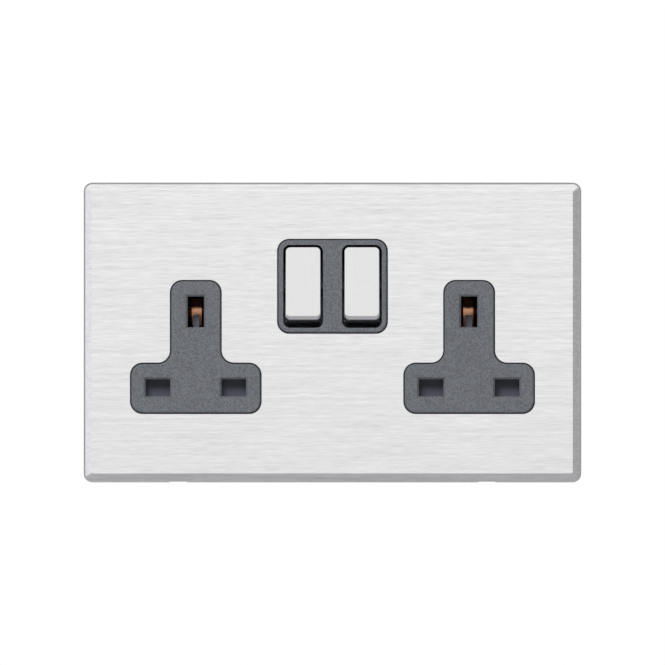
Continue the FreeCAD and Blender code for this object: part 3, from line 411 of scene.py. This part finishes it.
def coil(mesh, radius, wire, length, turns):
    """A compression spring about the Z axis from 0 up, with its end turns closed.

    A closed end makes CLOSED_TURNS of a turn and rises by CLOSED_RISE of the wire's thickness.
    """
    steps = int(turns * POINTS_PER_TURN)
    closed = CLOSED_TURNS / turns
    middle = []
    for i in range(steps + 1):
        part = i / steps
        low_end = min(part, closed) / closed
        high_end = max(part - 1 + closed, 0) / closed
        between = min(max((part - closed) / (1 - 2 * closed), 0), 1)
        height = wire * (0.5 + CLOSED_RISE * (low_end + high_end))
        height += (length - (1 + 2 * CLOSED_RISE) * wire) * between
        angle = 2 * math.pi * turns * part
        middle.append(Vector((radius * math.cos(angle), radius * math.sin(angle), height)))
    angles = [2 * math.pi * i / WIRE_SIDES for i in range(WIRE_SIDES)]
    rings = []
    for i, point in enumerate(middle):
        way = (middle[min(i + 1, steps)] - middle[max(i - 1, 0)]).normalized()
        out = Vector((point.x, point.y, 0)).normalized()
        aside = way.cross(out)
        rings.append([point + (out * math.cos(a) + aside * math.sin(a)) * wire / 2 for a in angles])
    join_rings(mesh, rings)


def joint(name):
    return next(entry for entry in frame["joints"] if entry["name"] == name)


slide_plastic = moulded(
    "slide moulding", (0.086, 0.090, 0.120), grain=0.6, roughness=0.42, relief=0.004, contrast=0.05
)
spring_wire = drawn_metal("spring wire", (0.56, 0.56, 0.57), roughness=0.22, line=0.2)


def lift_spring(side):
    """The light spring below a shutter, made at its length at rest. Here it does not shorten as the shutter slides
    down.
    """
    node = f"shutter_spring_{side}"
    slide = f"shutter_{side}_slide"
    wire, turns = 0.3 * MM, 6.5
    low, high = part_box(node)
    length = high[2] - low[2]
    foot = ((low[0] + high[0]) / 2, (low[1] + high[1]) / 2, low[2])
    mesh = bmesh.new()
    coil(mesh, (high[0] - low[0] - wire) / 2, wire, length, turns)
    bmesh.ops.translate(mesh, vec=foot, verts=mesh.verts)
    spring = piece_from(f"lift_spring_{side}", mesh, spring_wire, "spring steel", "body", node)
    keep = 1 - joint(slide)["range_m"][1] / length
    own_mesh(spring)


for side in ("left", "right"):
    cover(f"shutter_{side}", slide_plastic, radius=0.2)
    lift_spring(side)
pale_plastic = moulded(
    "inner moulding", (0.60, 0.60, 0.58), grain=0.8, roughness=0.42, relief=0.006, contrast=0.04
)
cover("shutter_plate", pale_plastic, radius=0.15)


# Grid frame. Zinc plated sheet steel, blanked and folded, that screws to the wall box and
# holds the clip-on plate by its spring tongues. Four pan head screws hold the mouldings.
plated_sheet = drawn_metal(
    "plated sheet", (0.58, 0.60, 0.62), roughness=0.3, line=0.3, stretch=(12, 1, 1)
)
cover("grid_frame", plated_sheet, radius=0.12)


def cross_screws():
    """The four housing screws: a rounded head with a cross recess, and a plain shank."""
    low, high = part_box("housing_screws")
    back = high[1]
    shank, tip = 1.4 * MM, 0.6 * MM
    head, head_height, head_rim = 2.3 * MM, 1.8 * MM, 0.5 * MM
    arm, slot_width, slot_depth = 1.5 * MM, 0.8 * MM, 0.9 * MM
    # The head's dome: how wide it is as a share of the head's radius, and how far below the
    # top that is as a share of the head's height.
    dome = ((0.96, 0.45), (0.84, 0.2), (0.6, 0.0))
    places = [(x, z) for x in (low[0] + head, high[0] - head) for z in (low[2] + head, high[2] - head)]
    mesh = bmesh.new()
    for place in places:
        turned(mesh, place, [
            (shank / 2, low[1]),
            (shank, low[1] + tip),
            (shank, back - head_height),
            (head, back - head_height),
            (head, back - head_height + head_rim),
            *((head * wide, back - head_height * below) for wide, below in dome),
        ])
    piece = piece_from("pan_head_screws", mesh, zinc, "zinc plated steel", "body", "housing_screws")
    # The two arms of a cross lie over each other, so one is cut after the other.
    for across, up in ((arm, slot_width / 2), (slot_width / 2, arm)):
        cut_with(piece, [
            ((x - across, back - slot_depth, z - up), (x + across, back + slot_depth, z + up))
            for x, z in places
        ])
    soften(piece, radius=0.06)


cross_screws()


# Front moulding. One piece of dark grey plastic with both outlets and the surround of the
# switches, spark textured all over and pushed through the steel plate from behind.
insert_plastic = moulded(
    "insert moulding", (0.117, 0.124, 0.138), grain=0.42, roughness=0.5, relief=0.02, contrast=0.3
)
cover("front_moulding", insert_plastic, radius=0.2)


# Rockers. A grey core turns on two pins in the front moulding, and a steel cap with a fine
# upright grain is pressed over its front. A spring loaded plunger in it tips the blade.
FINE_LINE = 0.2
BROAD_LINE = 1.0
BROAD_SHARE = 0.38
MOST_STREAKS = (0.34, 0.66)


def brushed(name, colour, stretch, relief, contrast):
    """Steel brushed one way, and across that on its ends, in fine lines and broader bands.

    The stretch says how much longer the lines are each way, and the relief is in millimetres.
    """
    finish = Finish(name)
    ends = finish.facing("XYZ"[stretch.index(max(stretch))])
    across = stretch[::-1]

    def lines(size, detail):
        return (1 - ends) * finish.noise(size, stretch, detail) + ends * finish.noise(size, across, detail)

    fine = lines(FINE_LINE, 3.0)
    both = (1 - BROAD_SHARE) * fine + BROAD_SHARE * lines(BROAD_LINE, 2.0)
    streaks = finish.ramp(both, *MOST_STREAKS)
    finish.surface(
        Base_Color=finish.blend(streaks, shaded(colour, 1 - contrast), colour),
        Metallic=1.0,
        Roughness=0.25 + 0.1 * streaks,
        Normal=finish.relief(fine, relief),
    )
    return finish


STEEL = (0.94, 0.94, 0.94)
cap_steel = brushed(
    "upright brushed steel", shaded(STEEL, 0.86), stretch=(1, 1, 40), relief=0.001, contrast=0.05
)
# The cap's sizes in millimetres. Its face stands in front of the pivot by the rise, and for
# each millimetre behind the face the cap is taller at each end by the flare.
CAP = {
    "half_width": 5.2,
    "half_height": 10.4,
    "flare": 0.9 / 6.6,
    "rise": 9.3,
    "depth": 5.2,
    "sheet": 0.6,
    "corner": 1.4,
    "edge": 0.36,
    "crown": 0.12,
}
# The bevel of the low end, which stands out at rest: how far behind the face each line of it
# lies, and how far it is set in there. The skirt behind it stands out a little.
LOW_END = ((0.0, 0.5), (0.03, 0.32), (0.1, 0.21), (1.0, -0.39), (1.2, -0.43), (1.4, -0.42))
LOW_SKIRT = -0.24
CORNER_STEPS = 8
CROWN_STEPS = 5


def rounded_ring(half_width, top, low, corner, depth):
    """A rounded rectangle seen from the front, as points at one depth, in millimetres."""
    points = []
    for quarter, (across, end) in enumerate(((1, top), (-1, top), (-1, low), (1, low))):
        up = math.copysign(1, end)
        for i in range(CORNER_STEPS + 1):
            angle = math.pi / 2 * (quarter + i / CORNER_STEPS)
            points.append((
                across * (half_width - corner) + corner * math.cos(angle),
                depth,
                end - up * corner + corner * math.sin(angle),
            ))
    return points


def cap_ring(behind, inset, low_inset):
    """The cap's outline at a depth behind its face, set in at its sides and at its low end."""
    reach = CAP["half_height"] + CAP["flare"] * behind
    return rounded_ring(
        CAP["half_width"] - inset,
        reach - inset,
        low_inset - reach,
        CAP["corner"] - inset / 2,
        behind - CAP["rise"],
    )


def set_in_rocker(mesh, side, place):
    """Move a mesh made about a rocker's pivot to where it stands at rest.

    A rocker stands level half way along its travel, so at rest it leans back by that half.
    """
    tilt = joint(f"rocker_{side}_tilt")
    lean = -math.radians(tilt["range_deg"][1] / 2)
    stand = Matrix.Translation(tilt["pos_m"]) @ Matrix.Rotation(lean, 4, "X") @ place
    bmesh.ops.transform(mesh, matrix=stand, verts=mesh.verts)


def rocker_cap(side):
    """The pressed cap: a thin shell with rounded corners and a slightly crowned face.

    Its rings run from the inside of the face back along the skirt, forward again outside,
    round the edge and in over the crown.
    """
    edge, sheet, deep = CAP["edge"], CAP["sheet"], CAP["depth"]
    rings = [
        cap_ring(sheet, sheet, sheet),
        cap_ring(deep, sheet, LOW_SKIRT + sheet),
        cap_ring(deep, 0, LOW_SKIRT),
    ]
    for behind, low_inset in reversed(LOW_END):
        left = max(edge - behind, 0)
        rings.append(cap_ring(behind, edge - math.sqrt(edge ** 2 - left ** 2), low_inset))
    rim = rings[-1]
    for i in range(1, CROWN_STEPS):
        share = 1 - i / CROWN_STEPS
        lift = CAP["crown"] * (1 - share * share)
        rings.append([(x * share, y - lift, z * share) for x, y, z in rim])
    mesh = bmesh.new()
    join_rings(mesh, rings)
    set_in_rocker(mesh, side, Matrix.Scale(MM, 4))
    piece = piece_from(
        f"steel_cap_{side}", mesh, cap_steel, "brushed steel sheet", f"rocker_{side}", f"rocker_cap_{side}"
    )
    shade_evenly(piece)


def plunger_spring(side):
    """The stiff spring inside the rocker's stem, from the end of its bore to the plunger."""
    bore_end, plunger_foot = -6.0 * MM, 0.4 * MM
    radius, wire, turns = 1.35 * MM, 0.35 * MM, 6.0
    along_bore = Matrix.Translation((0, bore_end, 0)) @ Matrix.Rotation(math.radians(-90), 4, "X")
    mesh = bmesh.new()
    coil(mesh, radius, wire, plunger_foot - bore_end, turns)
    set_in_rocker(mesh, side, along_bore)
    piece_from(
        f"snap_spring_{side}", mesh, spring_wire, "spring steel", f"rocker_{side}", f"plunger_spring_{side}"
    )


for side in ("left", "right"):
    cover(f"rocker_{side}", insert_plastic, radius=0.3)
    cover(f"plunger_{side}", pale_plastic, radius=0.2)
    rocker_cap(side)
    plunger_spring(side)


# Front plate. One sheet of stainless steel, pressed to a bevelled edge, brushed level and
# cut for both outlets and the switches. It clips over the tongues of the grid frame.
plate_steel = brushed("level brushed steel", STEEL, stretch=(26, 1, 1), relief=0.0016, contrast=0.26)
cover("front_plate", plate_steel, radius=0.45)


# Studio. A pale floor well below the socket and a white surrounding. Soft light falls from
# the upper left in front and from behind, the steel reflects five cards that nothing else
# shows, and the camera looks straight on.
FLOOR_DROP = 150 * MM
FLOOR_REACH = 0.44


def board(name, reach, stand, finish):
    """A square sheet of paper or card that stands in the studio."""
    mesh = bpy.data.meshes.new(name)
    corners = [(-reach, -reach, 0), (reach, -reach, 0), (reach, reach, 0), (-reach, reach, 0)]
    mesh.from_pydata(corners, [], [(0, 1, 2, 3)])
    mesh.materials.append(finish.material)
    sheet = bpy.data.objects.new(name, mesh)
    bpy.context.scene.collection.objects.link(sheet)
    sheet.matrix_world = stand
    return sheet


def fading_paper():
    """Pale paper that fades out from the middle of its sheet, so that it shows no far edge."""
    finish = Finish("floor paper")
    outward = finish.add("ShaderNodeVectorMath", {"operation": "LENGTH"}, {0: finish.point()}, "Value")
    finish.surface(
        Base_Color=(0.8, 0.8, 0.8, 1),
        Roughness=0.9,
        Specular_IOR_Level=0.1,
        Alpha=1 - finish.ramp(outward, FLOOR_REACH / 2, FLOOR_REACH),
    )
    return finish


board("floor", FLOOR_REACH, Matrix.Translation((0, 0, -FLOOR_DROP)), fading_paper())


def card(name, place, facing, reach, level, tone=(1, 1, 1)):
    """A card of one brightness, which shows only in what is glossy."""
    finish = Finish(name)
    finish.surface(Base_Color=(0, 0, 0, 1), Emission_Color=(*tone, 1), Emission_Strength=level)
    turn = Vector(facing).to_track_quat("Z", "Y").to_matrix().to_4x4()
    sheet = board(name, reach, Matrix.Translation(place) @ turn, finish)
    sheet.visible_camera = False
    sheet.visible_diffuse = False
    sheet.visible_shadow = False


card("right_card", place=(0.62, -0.25, 0), facing=(-1, 0, 0), reach=0.42, level=0.38)
card("low_card", place=(0, -0.2, -0.14), facing=(0, 0, 1), reach=0.34, level=0.45, tone=(0.97, 0.95, 1.0))
card("top_card", place=(0, -0.1, 0.5), facing=(0, 0, -1), reach=0.45, level=0.98)
card("left_card", place=(-0.62, 0.1, 0), facing=(1, 0, 0), reach=0.5, level=0.92, tone=(0.97, 0.96, 1.0))
card("back_card", place=(0, 0.5, 0), facing=(0, -1, 0), reach=0.8, level=0.28)


def softbox(name, place, width, power):
    """A square soft light aimed at the middle of the socket, with no reflection of its own."""
    lamp = bpy.data.lights.new(name, "AREA")
    lamp.shape = "RECTANGLE"
    lamp.size = width
    lamp.size_y = width
    lamp.energy = power
    light = bpy.data.objects.new(name, lamp)
    bpy.context.scene.collection.objects.link(light)
    light.location = place
    light.rotation_euler = (-Vector(place)).to_track_quat("-Z", "Y").to_euler()
    light.visible_glossy = False


softbox("key light", place=(-0.2, -1.0, 0.62), width=0.5, power=15)
softbox("rear light", place=(0.4, 1.1, 0.6), width=0.8, power=12)

# The surrounding is white to the camera and in reflections, and lights the socket dimly.
DIM_LEVEL = 0.14
world = bpy.data.worlds.new("surrounding")
bpy.context.scene.world = world
sky = Nodes(world)
shown = sky.add("ShaderNodeLightPath", {}, {}, "Is Camera Ray")
for ray in ("Is Glossy Ray", "Is Transmission Ray"):
    shown = shown.either(sky.add("ShaderNodeLightPath", {}, {}, ray))
background = sky.nodes["Background"]
sky.put(background.inputs["Color"], (1, 1, 1, 1))
sky.put(background.inputs["Strength"], DIM_LEVEL + (1 - DIM_LEVEL) * shown)

VIEW_WIDTH = 194.6 * MM
CAMERA_DISTANCE = 2.6
SENSOR = 36
plate_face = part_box("front_plate")[0][1]
camera_data = bpy.data.cameras.new("camera")
camera_data.sensor_width = SENSOR
camera_data.lens = SENSOR * CAMERA_DISTANCE / VIEW_WIDTH
camera_data.clip_start = 0.01
camera = bpy.data.objects.new("camera", camera_data)
bpy.context.scene.collection.objects.link(camera)
camera.location = (0, plate_face - CAMERA_DISTANCE, 0)
camera.rotation_euler = (math.radians(90), 0, 0)
bpy.context.scene.camera = camera
bpy.context.scene.view_settings.view_transform = "Standard"
